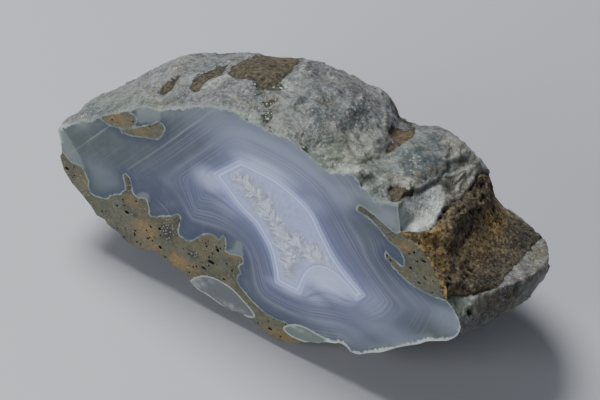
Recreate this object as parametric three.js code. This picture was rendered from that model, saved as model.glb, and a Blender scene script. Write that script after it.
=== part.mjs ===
// An agate nodule that grew in vesicular basalt, sawn through on one side and polished there.
// Lengths are in millimetres. +Z is up and +X runs along the stone. The sawn face looks towards -Y and
// leans back a little. The stone stands on a small flat spot, and the origin is under its middle.
//
// Until the last step a point is given as (along, up, in): along the stone, up in the plane of the
// sawn face, and from that plane into the stone, all from the middle of the sawn face.

import * as THREE from "three";
import { ImprovedNoise } from "three/addons/math/ImprovedNoise.js";

const FACE_LEAN = THREE.MathUtils.degToRad(10); // how far the sawn face leans back from upright
const DEPTH = 50; // from the sawn face to the back of the stone
const REST_HEIGHT = 34.5; // the sawn face's middle above the surface that the stone stands on
const GRAIN = 1.85; // edge length of the facets on the rough skin
const RIM_POINTS = 230; // facet edges around the sawn face

// The rim of the sawn face as (along, up), anticlockwise from the left tip, seen from in front.
const RIM = [
  [-62.3, -3.6], [-61.2, -6.5], [-60.6, -9.6], [-61.2, -11.2], [-59.6, -14.8], [-57, -17.4], [-53.6, -19.4],
  [-50.4, -21.6], [-48.4, -23.6], [-46, -23.4], [-44.6, -24.8], [-41.2, -25.2], [-39.6, -26.4], [-37, -27.1],
  [-33.4, -26.7], [-30.8, -25.4], [-28.4, -24.8], [-26.6, -26], [-23.6, -26.9], [-19.4, -27.4], [-18.4, -29],
  [-16, -30.2], [-12.8, -30.4], [-9, -31.2], [-5, -31.2], [-2.6, -30.6], [1.6, -31.2], [4, -32.2],
  [7.5, -32.9], [10.5, -32.6], [13, -31.6], [15.6, -30.3], [18, -28.6], [21.2, -27.3], [22.4, -26.1],
  [25.2, -25.1], [26.8, -23.9], [28.6, -24.2], [30, -25.1], [32.2, -24.8], [35, -22.6], [38.4, -20.6],
  [42, -17.2], [45, -14.8], [48.2, -12.5], [50, -10.6], [53, -8.9], [55.6, -7.4], [57.6, -5],
  [58.4, -2.4], [57.5, 0.2], [55.6, 2.1], [53.3, 4], [53.1, 6.4], [52.3, 8.4], [50.2, 10],
  [48.8, 11.4], [46.6, 14], [45, 16.4], [43, 18.4], [40.6, 17.6], [38.6, 16], [38.2, 18.4],
  [37.4, 21], [36.8, 23.6], [34.8, 22.9], [32.6, 21.6], [30.4, 21.4], [28.2, 23.2], [26.6, 23],
  [25.6, 25], [23.6, 25.8], [21.6, 24.8], [19.6, 23.8], [17.6, 22.9], [15.6, 23.6], [13, 24.6],
  [10.6, 25.3], [8, 26.4], [5, 27.1], [2, 26.4], [-2, 26.4], [-4.4, 27], [-6.4, 26.2],
  [-8.6, 26.9], [-11.4, 27], [-14.4, 26.2], [-17.4, 25.5], [-20, 24.1], [-22.8, 22.6], [-25.6, 21.2],
  [-28.2, 20], [-30.4, 18.4], [-32.6, 16.7], [-35.2, 16.7], [-37, 15.8], [-38.8, 15], [-39.8, 13.6],
  [-41.6, 12.4], [-43.2, 11.4], [-45, 9.9], [-47, 8.7], [-49.4, 6.9], [-52, 4.4], [-54.6, 3],
  [-57, 1.6], [-59.2, -0.2], [-60.8, -0.8], [-61.8, -2],
].map(([u, v]) => new THREE.Vector2(u, v));

// The rough skin by the direction from the face's middle in degrees (0 is the right tip, 90 is up): how
// far it swells beyond the rim on its way to the back, and how square its section is (2 is an ellipse).
const SWELL = [
  [-15, 2], [-5, 9.6], [4, 11.4], [12, 0.4], [22, -1], [34, 1.4], [47, 1], [57, 2.8], [70, 4], [90, 4.2],
  [115, 4.8], [135, 4.4], [151, 5.4], [166, 8.4], [178, 6], [195, 2], [230, 2.5], [270, 2.2], [310, 2],
];
const SQUARENESS = [
  [0, 3.6], [12, 3], [30, 2.7], [47, 2.3], [60, 2.2], [110, 2.2], [140, 2.3], [160, 2.5], [190, 2.4], [230, 2.8],
  [270, 3.2], [320, 3.2],
];

// Rounded swellings, or hollows where the height is below 0.
const LUMPS = [
  { at: [28, 22, 24], reach: 8, height: 1.4 }, // the smooth blue-green lump beyond the notch
  { at: [35, 17, 36], reach: 8, height: 4 },
  { at: [8, 27, 24], reach: 11, height: 1 }, // the large dome before the notch
  { at: [-39, 17, 20], reach: 6, height: 1.6 },
  { at: [-55, 2, 10], reach: 6, height: 1.2 },
  { at: [56, -4, 40], reach: 9, height: 0.4 },
  { at: [-24, 2, 47], reach: 15, height: 3 }, // the back
  { at: [22, 8, 47], reach: 14, height: 2 },
  { at: [2, -8, 50], reach: 11, height: -3 },
  { at: [-42, -10, 34], reach: 11, height: -2 },
  { at: [34, -18, 38], reach: 12, height: 2 },
];

// Grooves along a line, each as deep at its ends as given.
const GROOVES = [
  { from: [25, 25, 11], to: [20.5, 23.5, 30], reach: 3.2, depths: [1.4, 2.4] }, // the notch
  { from: [20.5, 23.5, 30], to: [15, 13, 44], reach: 4.2, depths: [2.4, 4.4] }, // and on to the back
  { from: [17.7, 22.8, 0.5], to: [25, 25, 11], reach: 2, depths: [0.6, 1.4] }, // its shallow end
  { from: [-12, 28, 11], to: [-2, 27, 3], reach: 1.8, depths: [1.4, 0.8] }, // the drusy seam
  { from: [-37, 17, 8], to: [-34, 16, 26], reach: 2.6, depths: [1.2, 1.6] },
  { from: [-30, 21, 11], to: [-26, 22, 20], reach: 2.4, depths: [0.8, 1] },
  { from: [54, 3.6, 3], to: [57, 2.6, 40], reach: 1.6, depths: [0.6, 1.1] }, // basalt meets rind
];

// Flat fractures: whatever stands beyond the plane through the point, square to the normal, is off.
// reach limits a fracture to its own part of the stone.
const FRACTURES = [
  { at: [-17, 26.2, 21], normal: [-0.22, 0.92, 0.32], reach: 12 }, // the basalt window on top
  { at: [38.8, 18.6, 28], normal: [0.7, 0.7, 0.12], reach: 14 }, // broken rind above the saddle
  { at: [-6, -26, 38], normal: [-0.1, -0.75, 0.66], reach: 22 }, // under the back
];

// Scoops out of the skin, each a cylinder with round ends.
const SCOOPS = [
  { from: [61, 19, 6], to: [56.8, 14.2, 42], radius: 14.2 }, // the basalt saddle at the right end
  { from: [56.8, 14.2, 42], to: [43.5, 9, 57], radius: 14.2 }, // and on round to the back
  { from: [43.5, 25.5, 9], to: [44, 25.5, 10], radius: 9.6 }, // a shell-like chip above it
];

// Relief of the skin as [wavelength, height], fading out towards the crisp rim of the sawn face.
const RELIEF = [[19, 1.1], [8.5, 0.55], [4.2, 0.3]];
const RELIEF_FADE = 4; // over this far from the sawn face
const RIM_SMOOTHING = 0.018; // share of the rim over which its small steps melt into the skin

const noise = new ImprovedNoise();
const rim = new THREE.Path(RIM);
rim.closePath();

// The value at a direction in degrees, taken smoothly round a table of [direction, value].
function around(table, degrees) {
  const turnedBy = (from) => THREE.MathUtils.euclideanModulo(degrees - from, 360);
  const low = table.reduce((best, _, i) => (turnedBy(table[i][0]) < turnedBy(table[best][0]) ? i : best), 0);
  const high = (low + 1) % table.length;
  const span = THREE.MathUtils.euclideanModulo(table[high][0] - table[low][0], 360);
  return THREE.MathUtils.lerp(
    table[low][1],
    table[high][1],
    THREE.MathUtils.smoothstep(turnedBy(table[low][0]), 0, span),
  );
}

// The rim's own point at the sawn face, and a smoothed one further into the stone.
function outline(turn, climb) {
  const own = rim.getPointAt(THREE.MathUtils.euclideanModulo(turn, 1));
  const smooth = new THREE.Vector2();
  const samples = [-1, -0.66, -0.33, 0, 0.33, 0.66, 1];
  samples.forEach((s) => {
    smooth.add(rim.getPointAt(THREE.MathUtils.euclideanModulo(turn + s * RIM_SMOOTHING, 1)));
  });
  smooth.divideScalar(samples.length);
  return own.lerp(smooth, THREE.MathUtils.smoothstep(climb, 0, 0.2));
}

function lumpHeight(point) {
  return LUMPS.reduce((sum, { at, reach, height }) => {
    const far = point.distanceTo(new THREE.Vector3(...at)) / reach;
    return sum + height * Math.exp(-far * far);
  }, 0);
}

function grooveDepth(point) {
  return GROOVES.reduce((sum, { from, to, reach, depths }) => {
    const line = new THREE.Line3(new THREE.Vector3(...from), new THREE.Vector3(...to));
    const t = line.closestPointToPointParameter(point, true);
    const far = point.distanceTo(line.at(t, new THREE.Vector3())) / reach;
    return sum + THREE.MathUtils.lerp(depths[0], depths[1], t) * Math.exp(-far * far);
  }, 0);
}

function relief(point) {
  return RELIEF.reduce((sum, [wavelength, height]) => {
    const q = point.clone().divideScalar(wavelength);
    return sum + height * noise.noise(q.x, q.y, q.z);
  }, 0);
}

function fracture(point) {
  FRACTURES.forEach(({ at, normal, reach }) => {
    const centre = new THREE.Vector3(...at);
    const n = new THREE.Vector3(...normal).normalize();
    const beyond = point.clone().sub(centre).dot(n);
    const near = 1 - THREE.MathUtils.smoothstep(point.distanceTo(centre), reach * 0.6, reach);
    if (beyond > 0) point.addScaledVector(n, -beyond * near);
  });
}

// Moves a point that a scoop has taken away onto the scoop's wall.
function scoop(point) {
  SCOOPS.forEach(({ from, to, radius }) => {
    const line = new THREE.Line3(new THREE.Vector3(...from), new THREE.Vector3(...to));
    const axis = line.closestPointToPoint(point, true, new THREE.Vector3());
    if (axis.distanceTo(point) < radius) point.sub(axis).setLength(radius).add(axis);
  });
}

// A point of the rough skin. turn is its place round the rim from 0 to 1, and climb runs from 0 at the
// rim to 1 at the back of the stone.
function skin(turn, climb) {
  const edge = outline(turn, climb);
  if (climb === 0) return new THREE.Vector3(edge.x, edge.y, 0);
  const direction = THREE.MathUtils.radToDeg(edge.angle());
  const angle = (climb * Math.PI) / 2;
  const square = around(SQUARENESS, direction);
  const corner = (Math.cos(angle) ** square + Math.sin(angle) ** square) ** (1 / square);
  const keep = Math.cos(angle) / corner;
  const deep = Math.sin(angle) / corner;
  const out = around(SWELL, direction) * Math.sin(2 * angle) * Math.cos(angle / 2);
  const outward = new THREE.Vector3(edge.x, edge.y, 0).normalize();
  const point = new THREE.Vector3(edge.x * keep, edge.y * keep, DEPTH * deep).addScaledVector(outward, out);
  const normal = new THREE.Vector3(0, 0, deep ** (square - 1) / DEPTH)
    .addScaledVector(outward, keep ** (square - 1) / edge.length())
    .normalize();
  const fade = THREE.MathUtils.smoothstep(point.z, 0, RELIEF_FADE);
  point.addScaledVector(normal, fade * (lumpHeight(point) - grooveDepth(point)));
  scoop(point);
  fracture(point);
  point.addScaledVector(normal, fade * relief(point));
  return point;
}

function ringOf(count, climb) {
  return Array.from({ length: count }, (_, i) => skin(i / count, climb));
}

// The triangles between two closed rings of evenly spread points.
function stitch(outerCount, innerCount, firstOuter, firstInner, triangles) {
  let i = 0;
  let j = 0;
  while (i < outerCount || j < innerCount) {
    const a = firstOuter + (i % outerCount);
    const b = firstInner + (j % innerCount);
    if (j >= innerCount || (i < outerCount && (i + 1) / outerCount <= (j + 1) / innerCount)) {
      triangles.push(a, b, firstOuter + ((i + 1) % outerCount));
      i += 1;
    } else {
      triangles.push(a, b, firstInner + ((j + 1) % innerCount));
      j += 1;
    }
  }
}

// The whole stone: the flat sawn face, and rings of skin from its rim to the back.
function nodule() {
  const points = ringOf(RIM_POINTS, 0);
  const triangles = [];
  const face = points.map((p) => new THREE.Vector2(p.x, p.y));
  THREE.ShapeUtils.triangulateShape(face, []).forEach(([a, b, c]) => triangles.push(a, b, c));
  const steps = Math.round(((Math.PI / 2) * DEPTH * 0.95) / GRAIN);
  const trialPoints = 64;
  let first = 0;
  let count = RIM_POINTS;
  for (let k = 1; k < steps; k += 1) {
    const trial = ringOf(trialPoints, k / steps);
    const girth = trial.reduce((sum, p, i) => sum + p.distanceTo(trial[(i + 1) % trialPoints]), 0);
    const nextCount = THREE.MathUtils.clamp(Math.round(girth / GRAIN), 8, RIM_POINTS);
    const next = points.length;
    points.push(...ringOf(nextCount, k / steps));
    stitch(count, nextCount, first, next, triangles);
    first = next;
    count = nextCount;
  }
  const back = points.length;
  const last = points.slice(first);
  points.push(last.reduce((sum, p) => sum.add(p), new THREE.Vector3()).divideScalar(last.length));
  last.forEach((_, i) => triangles.push(first + i, back, first + ((i + 1) % count)));
  return { points, triangles };
}

// Leans the stone back, sets it down on the flat spot and centres it over the origin.
function setDown(points) {
  const lean = new THREE.Matrix4().makeBasis(
    new THREE.Vector3(1, 0, 0),
    new THREE.Vector3(0, Math.sin(FACE_LEAN), Math.cos(FACE_LEAN)),
    new THREE.Vector3(0, Math.cos(FACE_LEAN), -Math.sin(FACE_LEAN)),
  );
  points.forEach((p) => {
    p.applyMatrix4(lean);
    p.z = Math.max(0, p.z + REST_HEIGHT);
  });
  const middle = new THREE.Box3().setFromPoints(points).getCenter(new THREE.Vector3());
  points.forEach((p) => p.sub(new THREE.Vector3(middle.x, middle.y, 0)));
}

const { points, triangles } = nodule();
setDown(points);
const geometry = new THREE.BufferGeometry().setFromPoints(points).setIndex(triangles);
geometry.computeVertexNormals();
const agate = new THREE.Mesh(geometry, new THREE.MeshStandardMaterial({ color: 0x8d96a8, roughness: 0.35 }));
agate.name = "agate";

const group = new THREE.Group();
group.add(agate);
export default group;
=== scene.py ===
import math

import bpy
import numpy as np
from mathutils import Matrix, Vector, noise
from mathutils.geometry import delaunay_2d_cdt


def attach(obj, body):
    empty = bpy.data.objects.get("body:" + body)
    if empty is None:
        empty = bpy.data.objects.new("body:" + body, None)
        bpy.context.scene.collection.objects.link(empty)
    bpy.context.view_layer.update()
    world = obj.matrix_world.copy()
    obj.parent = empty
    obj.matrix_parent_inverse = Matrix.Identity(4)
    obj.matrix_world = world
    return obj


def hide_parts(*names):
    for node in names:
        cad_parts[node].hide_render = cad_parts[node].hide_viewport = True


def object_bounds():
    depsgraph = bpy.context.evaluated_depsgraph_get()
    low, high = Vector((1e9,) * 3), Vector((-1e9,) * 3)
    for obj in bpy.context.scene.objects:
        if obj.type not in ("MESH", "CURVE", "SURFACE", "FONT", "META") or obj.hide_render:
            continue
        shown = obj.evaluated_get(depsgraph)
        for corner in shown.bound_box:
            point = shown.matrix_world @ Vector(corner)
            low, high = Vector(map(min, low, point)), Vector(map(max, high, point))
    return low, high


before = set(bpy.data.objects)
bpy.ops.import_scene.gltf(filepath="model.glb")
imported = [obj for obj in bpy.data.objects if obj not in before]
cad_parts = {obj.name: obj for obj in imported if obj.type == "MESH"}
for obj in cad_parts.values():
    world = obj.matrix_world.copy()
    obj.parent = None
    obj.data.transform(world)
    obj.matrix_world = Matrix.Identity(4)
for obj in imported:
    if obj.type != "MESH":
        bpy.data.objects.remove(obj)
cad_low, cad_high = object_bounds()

# A sawn and polished half of an agate nodule. The mesh is built in millimetres and shown in metres.
# The sawn face has its own coordinates: u along it, v up it and w into the stone.

MM = 0.001
NOISE_SEED = 1

# The sawn face
FACE_LEAN = math.radians(10)
FACE_FROM_LEFT_TIP = 62.3
FACE_HEIGHT = 34.5
FACE_GRAIN = 0.56
FACE_U = np.array([1, 0, 0])
FACE_V = np.array([0, math.sin(FACE_LEAN), math.cos(FACE_LEAN)])
FACE_OUT = np.array([0, -math.cos(FACE_LEAN), math.sin(FACE_LEAN)])

# The skin's relief. Its lengths are in millimetres.
SUBDIVISIONS = 2
LIFT_LIMITS = (-1.3, 1.1)
RIM_FADE = (0.2, 1.6)
FACET_SIZE, SMALL_FACET_SIZE = 9, 5.5
FACET_SLOPE = 0.8
FACET_LIMITS = (-0.45, 0.6)
CRYSTAL_SIZE = 1.3
DRUSE_SIZE, DRUSE_HEIGHT = 1.2, 0.6
PIT_SIZE, PIT_DEPTH = 2.1, 0.9
BASALT_SUNK = 0.3
GROOVE_AT, GROOVE_WIDTH, GROOVE_DEPTH = -0.15, 0.4, 0.5
RIDGE_WIDTH, RIDGE_HEIGHT = 0.6, 0.3
CREASE_WIDTH, CREASE_DEPTH = 0.55, 0.4
LEDGE_HOLE_DEPTH = 1.3
END_CAP_FROM = 52

# How far the skin's zones and its creases wander from their drawn places, in pixels
ZONE_WANDER = 6
LINE_WANDER = 2.5

# The distances that the materials read are cut off at this one
FAR = 9

# In metres: how far the square floor reaches from its centre, and where the lights aim
FLOOR_REACH = 3
LIGHT_AIM = (0, 0, 0.03)

# The photograph's camera: its frame and focus in pixels, its distance and sensor in millimetres
PHOTO_WIDTH, PHOTO_HEIGHT = 600, 400
CAMERA_AZIMUTH = math.radians(35)
CAMERA_ELEVATION = math.radians(45)
CAMERA_DISTANCE = 700
CAMERA_FOCUS = 2880.5
FACE_ORIGIN_PIXEL = (260, 220)
SENSOR_WIDTH = 36
PIXELS_PER_MM = CAMERA_FOCUS / CAMERA_DISTANCE

# Outlines on the sawn face. A point given twice running is a sharp corner.
QUARTZ = [
    (-13.6, 6.7), (-13.6, 6.7), (-10.3, 4.5), (-7.4, 2.2), (-4.5, 0.5), (-0.7, -1.3), (1.8, -3.8),
    (4.3, -6.8), (5.8, -10.5), (6.6, -13), (7, -15.1), (7, -15.1), (13.2, -15.1), (13.2, -15.1),
    (13.6, -13), (14.8, -8.8), (17.3, -5.5), (21.5, -4.4), (25.7, -5.9), (29.3, -8.2), (29.3, -8.2),
    (30.6, -6.7), (30.6, -6.7), (25.7, -3.8), (21.5, -0.5), (17.3, 4.5), (13.2, 9.5), (6, 12.6), (1, 13.5),
    (-7.2, 13.5), (-7.2, 13.5),
]
BAND_GUIDES = [
    [
        (-19.7, 3.8), (-19.7, 3.8), (-18.9, 0.3), (-17.8, -2.8), (-17.8, -2.8), (-14, -1.6), (-9, -1.6),
        (-4, -3.1), (-0.5, -5.6), (2.2, -9.2), (4.2, -13.5), (5.9, -17.2), (5.9, -17.2), (11, -17.4),
        (15.6, -16.7), (15.6, -16.7), (19, -14.5), (23, -12.6), (27, -11.9), (31.2, -9.4), (31.2, -9.4),
        (33, -5.9), (33, -5.9), (28, -0.9), (24, 1.9), (20, 5.9), (16, 10.4), (12.5, 13.2), (8, 15.3),
        (3, 16.4), (-3, 16.5), (-8.8, 15.9), (-8.8, 15.9), (-14.5, 9.8),
    ],
    [
        (-24, 0.8), (-24, 0.8), (-21.8, -3.2), (-19, -7.9), (-19, -7.9), (-15, -6.9), (-11, -6.3),
        (-7, -6.7), (-3.5, -7.9), (-0.9, -10.5), (0.8, -14), (2.3, -18), (4.4, -20.4), (10, -20.7),
        (16, -19.9), (22, -17.8), (27, -16.4), (30.3, -15.2), (30.3, -15.2), (33.5, -12.5), (37.2, -8.6),
        (38.8, -4.7), (38.8, -4.7), (33, -0.4), (28.5, 3.6), (25, 7.2), (21.5, 11.2), (17.5, 15.4),
        (13, 18), (8, 19.4), (2, 19.8), (-5, 19.6), (-9.8, 18.6), (-14.2, 13.2), (-19.5, 6.6),
    ],
    [
        (-31, -2.8), (-31, -2.8), (-24.6, -5.9), (-19.8, -10.3), (-19.8, -10.3), (-16, -9.7), (-12, -8.9),
        (-7, -8.7), (-3.8, -9.9), (-1.8, -12.6), (-0.6, -16.5), (0.4, -20.1), (3, -22.8), (8, -23.5),
        (15, -22.9), (22, -20.9), (26.5, -19.2), (31, -19.7), (31, -19.7), (35.5, -16.1), (39, -12.6),
        (42.4, -8), (43.6, -3.9), (43.6, -3.9), (36.2, 0.4), (31, 5), (29.3, 8.4), (24.8, 12.6),
        (22, 16.4), (18.5, 19.6), (14, 21.4), (8, 23), (2, 23.8), (-6, 23.7), (-11.3, 22), (-15.8, 16.3),
        (-21, 9.7), (-26.4, 2.9),
    ],
]
BAND_STEP = 5.2

# Single bright bands at the straight end: the band's number, half width and strength
BRIGHT_BANDS = [
    (6.33, 0.05, 0.45), (4.1, 0.05, 0.2), (4.5, 0.03, 0.12), (3.7, 0.04, 0.12), (5.2, 0.03, 0.1),
    (7, 0.03, 0.15),
]
LOWER_MATRIX = [
    (-66, -9.2), (-60.4, -9.7), (-57.7, -11.1), (-54.3, -11.3), (-52.2, -13.8), (-51.6, -16.8),
    (-50.6, -17.8), (-48.1, -17.6), (-45.6, -16.8), (-44.3, -15.1), (-41.8, -13.4), (-40.4, -11.5),
    (-40.2, -10.1), (-41.2, -7.2), (-40, -6.5), (-38.9, -8), (-38.1, -10.9), (-36.4, -11.8),
    (-33.9, -11.1), (-32.9, -13), (-32.5, -15.7), (-32.5, -15.7), (-30.6, -14.9), (-28.5, -13.6),
    (-26, -12.2), (-23.7, -10.7), (-23.1, -12.2), (-23.6, -15.9), (-21.5, -17), (-19.5, -16.8),
    (-17.8, -15.1), (-15.7, -12.8), (-13.2, -11.5), (-11.1, -12), (-9.9, -10.1), (-9.2, -12.2),
    (-8.8, -14.5), (-5.7, -14), (-3.8, -13.8), (-3.6, -14.9), (-4.7, -16.8), (-3.8, -18.6), (-4.7, -19.7),
    (-4.5, -21.8), (-2, -23.8), (0.2, -25.2), (3, -26.3), (6, -27), (8.6, -26.9), (11.3, -26.5), (17, -29),
    (17, -36), (17, -36), (-66, -36), (-66, -36),
]
RIGHT_MATRIX = [
    (26.3, 17.4), (27, 18.2), (30.5, 17.6), (33, 16.6), (35.5, 15.8), (38, 15.4), (40, 22), (40, 22),
    (60, 22), (60, 22), (56, 4.2), (53, 3.7), (48.8, 3), (44.7, 3.2), (41.3, 4.1), (38.8, 5.3),
    (35.9, 7.2), (35.7, 8.7), (36.3, 8.2), (38.8, 7.4), (40.7, 6.8), (41, 8.2), (40.5, 9.9), (38.8, 11.6),
    (36.3, 12.2), (34.7, 13.2), (32.2, 14.9), (28.8, 16.2), (26.3, 16.4),
]
INCLUSIONS = [
    [
        (-49.4, 6.9), (-47.6, 5.9), (-45, 6.2), (-42.5, 6.8), (-40, 8.5), (-38.8, 10.5), (-39.2, 12),
        (-41.6, 12.2), (-43.2, 11.4), (-45, 9.9), (-47, 8.7),
    ],
    [
        (-43, 6), (-42.6, 5.5), (-39, 6.2), (-36, 7.4), (-33, 8.2), (-31.4, 9.5), (-30.2, 12.6),
        (-31.6, 13.7), (-33.5, 12.6), (-36, 10.5), (-39.5, 8.3),
    ],
]
CLEAR_LENS = [
    (-18.5, -29.1), (-16.4, -26.6), (-14.8, -25.4), (-12.6, -24.5), (-9.8, -24.2), (-6.4, -24.5),
    (-4.2, -25.4), (-1.4, -26.9), (0.8, -28.3), (1.7, -29.4), (1.2, -29.9), (-1.4, -30.8), (-5.3, -31.3),
    (-8.1, -31.2), (-12.8, -30.2), (-15.1, -30.2), (-17.8, -29.4),
]
GREEN_LENS = [
    (10.4, -28.6), (11.3, -27.2), (13.8, -25.5), (16.9, -24.9), (20.5, -25.1), (23, -25.2), (22.4, -26.3),
    (21.3, -27.3), (18.3, -28.7), (15.2, -29.4), (12.4, -29.5),
]
PALE_EARS = [
    [(-8.8, -14.5), (-7, -12.2), (-6, -9.6), (-5, -9.3), (-4.2, -10.5), (-3.8, -13.8), (-6, -13.6)],
    [(-36.4, -11.8), (-36.2, -10.3), (-34.6, -9), (-33.2, -8.9), (-32.9, -11), (-34, -11.4)],
    [(-39, 12.4), (-37.5, 15.6), (-33.5, 18), (-31.5, 15.6), (-32, 13.9), (-35, 12.2), (-38, 10.6)],
    [(-63, -3), (-60, -3), (-53.4, -10.8), (-60.4, -9.4)],
]

# The line that the quartz's fibres lean on, with its branch
QUARTZ_SPINE = [
    [(-7.5, 9.4), (-4, 7.6), (-1, 6.4), (1.5, 3), (4.5, 0.6), (6.5, -2.5), (8.2, -5.6), (9.2, -9)],
    [(5, 0), (9, -1), (14, -2.4), (20, -3)],
]

# Gas bubbles in the basalt that the saw has opened: place on the face and half sizes
BUBBLES = [
    (-12.8, -19.9, 1, 0.45), (-14.8, -22.8, 0.75, 0.28), (-11.2, -15.3, 0.45, 0.5),
    (-39.3, -17.8, 0.6, 0.45), (-42.5, -17.3, 0.35, 0.3), (-29, -17.8, 0.4, 0.35),
    (-28.3, -23.3, 0.5, 0.4), (-32.3, -22.5, 0.4, 0.25), (-31.7, -18.5, 0.35, 0.3),
    (-36.3, -22.2, 0.3, 0.25), (-36.3, -23.5, 0.3, 0.25), (-8.5, -23, 0.35, 0.3),
    (-14.5, -15.8, 0.3, 0.25), (-13.5, -18.7, 0.3, 0.25), (45.8, 11.4, 0.65, 0.3), (43, 12.5, 0.3, 0.3),
    (41.8, 11.5, 0.35, 0.2), (44.2, 10.4, 0.3, 0.25), (42.7, 7.7, 0.4, 0.35), (45.5, 4.7, 0.45, 0.25),
    (6.5, -30.8, 0.6, 0.3), (-58.8, -13.8, 0.6, 0.4),
]

# Where the basalt beside the saddle is broken and not polished
ROUGH_STRIP = [
    (38.6, 16.4), (43, 15.3), (46, 13.2), (48.5, 10.4), (50.5, 8), (52, 5), (52.8, 3.4), (58, 3), (58, 3),
    (58, 24), (58, 24), (38, 24), (38, 24),
]

# Soft zones of the face: centre, half sizes and strength
FACE_ZONES = {
    "glow": [
        (21, -8, 9, 4.8, 0.95), (0, 15.4, 11, 3.4, 0.72), (-16, 4.2, 4.8, 3.8, 0.62), (2, 21, 29, 8, 0.32),
        (42, -14, 18, 4, 0.16), (26, -20, 12, 4, 0.14), (55, -1, 8, 5, 0.22), (34, -8, 6, 6, 0.22),
        (-47, -10.5, 9, 5, 0.1), (14, 12.6, 5, 3.4, 0.22), (-10, -0.5, 6, 3, 0.2),
        (10, -16.2, 6, 1.8, 0.5), (17, -14.5, 5, 2.6, 0.4), (21, -6.5, 6, 2.4, 1), (22, 19, 9, 5, 0.3),
        (46, 0, 9, 5, 0.12),
    ],
    "blue": [
        (10, -19, 9, 2.4, 0.3), (24, -16, 9, 3, 0.15), (-32, -8, 12, 6, 0.9), (-18, -2, 8, 5, 0.35),
        (-2, -12, 6, 8, 0.45), (38, 8.6, 5, 4, 0.9), (-20, -13, 9, 5, 0.95), (-26, -6, 8, 6, 0.6),
    ],
    "faint": [
        (-46, -12, 13, 7, 1), (-34, -8, 9, 4.6, 1), (-19, -14, 7, 3.4, 1), (-56, -4, 7, 6, 0.7),
        (49, -3, 10, 7, 0.8), (44, -12, 10, 7, 1), (30, 14, 9, 5, 0.7), (4, 23, 14, 4, 0.6),
        (-2, 17, 7, 2.6, 0.8), (20, -10, 7, 3.4, 0.8), (-16.5, 3.5, 4.5, 4, 0.95), (36, -16, 13, 8, 0.95),
        (-40, 4, 14, 8, 0.4),
    ],
    "rust": [
        (-33.5, -20, 4.4, 3.4, 1), (-22.5, -24.5, 4, 2.6, 1), (-38, -13.5, 3, 2, 0.6),
        (-7, -14.6, 2.4, 1, 0.7), (-18, -25, 3, 2, 0.6), (-30, -24, 3, 2, 0.6), (-45.5, 9.2, 4.4, 3, 0.8),
        (-36, 9.5, 4, 3, 0.3), (40, 13, 3, 2, 0.6), (10, -31, 6, 2, 0.5), (-32, -9.5, 3, 3, 0.3),
        (-52, -15, 3, 2, 0.3),
    ],
    "soot": [
        (-26.5, -17.5, 3, 3.4, 1), (-18.5, -20.2, 1.8, 1.4, 1), (-37, -17.5, 2, 1, 0.7),
        (-39.2, -9, 1, 2.6, 0.8), (-23.9, -12.6, 1, 2, 0.5), (30, 17, 4, 1, 0.6), (37, 14.5, 4, 2, 0.3),
    ],
    "clear_light": [
        (-16, -28, 2.6, 1.8, 1), (-5, -30, 5, 0.9, 0.8), (-12.5, -25.5, 2, 0.8, 0.5),
        (14, -26.5, 4, 0.8, 0.6),
    ],
    "pale_edge": [(34, 18.4, 7.5, 3.8, 1), (25, 18.4, 6, 2.4, 0.5)],
    "chipped_rim": [
        (8, -31, 12, 4, 0.7), (24, -27, 14, 6, 1), (40, -22, 12, 8, 1), (52, -12, 10, 10, 1),
        (-61, 0, 4, 8, 1), (-30, 20, 14, 3, 0.4),
    ],
}

# The outlines on the face, by the value that each set of them gives
FACE_OUTLINES = {
    "matrix_in": [LOWER_MATRIX, RIGHT_MATRIX, *INCLUSIONS],
    "strip_in": [ROUGH_STRIP],
    "clear_in": [CLEAR_LENS],
    "green_in": [GREEN_LENS],
    "ear_in": PALE_EARS,
}

# Regions of the rough skin, as outlines in the photograph's pixels
BASALT_END = [
    (484, 172), (520, 190), (560, 224), (541, 237), (515, 265), (489, 290), (447, 298), (436, 306),
    (395, 240), (408, 234), (432, 227), (448, 208), (470, 190),
]
WINDOWS = [
    [(230, 73), (240, 62), (249, 58), (262, 53), (299, 56), (288, 71), (279, 82), (262, 87), (253, 78)],
    [(190, 88), (196, 78), (206, 72), (226, 64), (222, 73), (208, 80), (198, 90)],
    [
        (412, 126), (404, 130), (392, 127), (390, 134), (394, 142), (385, 148), (391, 150), (403, 142),
        (413, 133),
    ],
    [(388, 92), (397, 99), (411, 120), (414, 127), (405, 122), (395, 109)],
    [(389, 189), (398, 186), (412, 190), (411, 195), (398, 200), (391, 198)],
    [(160, 92), (166, 84), (180, 75), (174, 84), (164, 93)],
]
WHITE_CHIP = [
    (401, 206), (412, 198), (428, 190), (441, 185), (445, 198), (440, 214), (428, 229), (406, 234),
    (400, 220),
]

# Creases and raised edges of the rough skin, as open lines in the photograph's pixels
CREASES = [
    [(230, 73), (252, 78), (261, 90), (267, 104), (268, 120), (262, 130)],
    [(282, 76), (296, 62), (306, 58)],
    [(318, 104), (330, 98), (344, 92)],
    [(336, 161), (356, 163), (381, 158), (392, 150)],
    [(186, 90), (170, 100), (150, 104)],
    [(452, 150), (449, 170), (438, 182)],
    [(462, 160), (478, 166), (484, 172)],
    [(446, 186), (456, 196), (462, 190)],
]
RIDGES = [
    [(328, 172), (352, 169), (368, 172), (386, 182)],
    [(410, 191), (428, 183), (447, 175), (470, 168), (482, 158)],
    [(450, 160), (466, 150), (478, 152)],
    [(462, 200), (458, 184), (468, 170)],
    [(204, 88), (228, 76), (248, 58)],
    [(306, 58), (300, 76), (288, 92)],
    [(376, 84), (384, 104), (384, 126)],
]

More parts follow.
